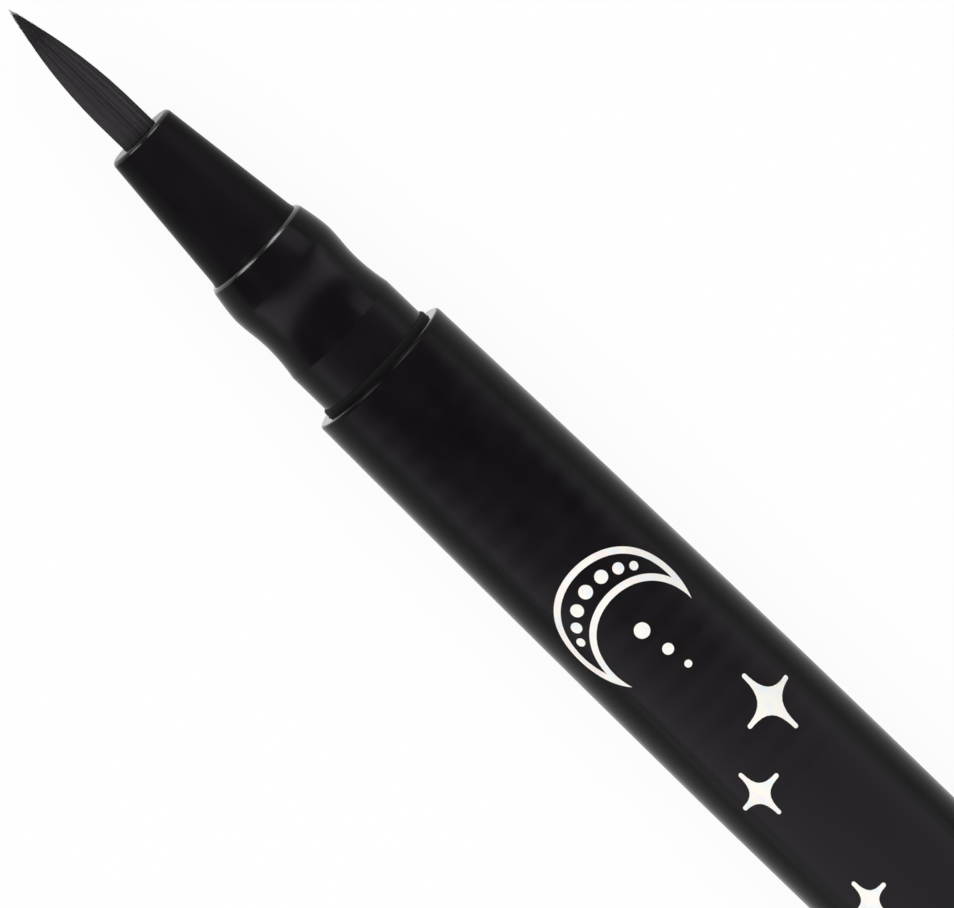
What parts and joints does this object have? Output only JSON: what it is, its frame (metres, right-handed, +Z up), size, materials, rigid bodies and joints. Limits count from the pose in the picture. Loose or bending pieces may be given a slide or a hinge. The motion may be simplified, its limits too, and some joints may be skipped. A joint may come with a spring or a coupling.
{
  "type": "liquid eyeliner pen",
  "caption": "Slim brush-tip liquid liner pen: tapered bristle tuft, cone nozzle, snap collar, swelling barrel with ink tube and comb collector, and a cap with a sprung inner cap on the tail.",
  "frame": {"origin": "under the middle of the pen's whole length, on the surface that it lies on", "axes": "+X along the pen from the brush towards the tail and the posted cap, +Z up, +Y to the left seen from the tail"},
  "size_m": [0.1574, 0.011, 0.0109],
  "materials": {
    "bristle": "dark synthetic strands, matte with a soft sheen along their length",
    "nozzle_black": "satin moulded plastic",
    "collar_black": "gloss moulded plastic",
    "barrel_black": "smooth semi-gloss coated plastic",
    "natural_plastic": "uncoloured moulded plastic",
    "fibre": "bonded fibre rod",
    "seal_rubber": "soft seal rubber",
    "steel": "polished ball steel",
    "spring_steel": "drawn wire"
  },
  "bodies": {
    "pen": {"bristle_bundle": "bristle", "brush_retainer": "natural_plastic", "nozzle": "nozzle_black", "feed_core": "fibre", "collar": "collar_black", "collector": "natural_plastic", "collector_bush": "seal_rubber", "reservoir_tube": "collar_black", "tail_plug": "natural_plastic", "plug_ring": "seal_rubber", "barrel": "barrel_black", "end_cap": "collar_black"},
    "mixing_ball": {"mixing_ball": "steel"},
    "cap": {"cap_shell": "barrel_black", "cap_liner": "nozzle_black", "cap_spring": "spring_steel"},
    "inner_cap": {"inner_cap": "natural_plastic"}
  },
  "joints": [
    {"name": "cap_slide", "type": "slide", "parent": "pen", "child": "cap", "axis": [1, 0, 0], "range_m": [0, 0.012]},
    {"name": "inner_cap_press", "type": "slide", "parent": "cap", "child": "inner_cap", "axis": [1, 0, 0], "range_m": [0, 0.0022], "stiffness_N_per_m": 300, "springref_m": -0.001, "deforming": ["cap_spring"]},
    {"name": "ball_roll", "type": "slide", "parent": "pen", "child": "mixing_ball", "axis": [-1, 0, 0], "range_m": [0, 0.0328]}
  ]
}
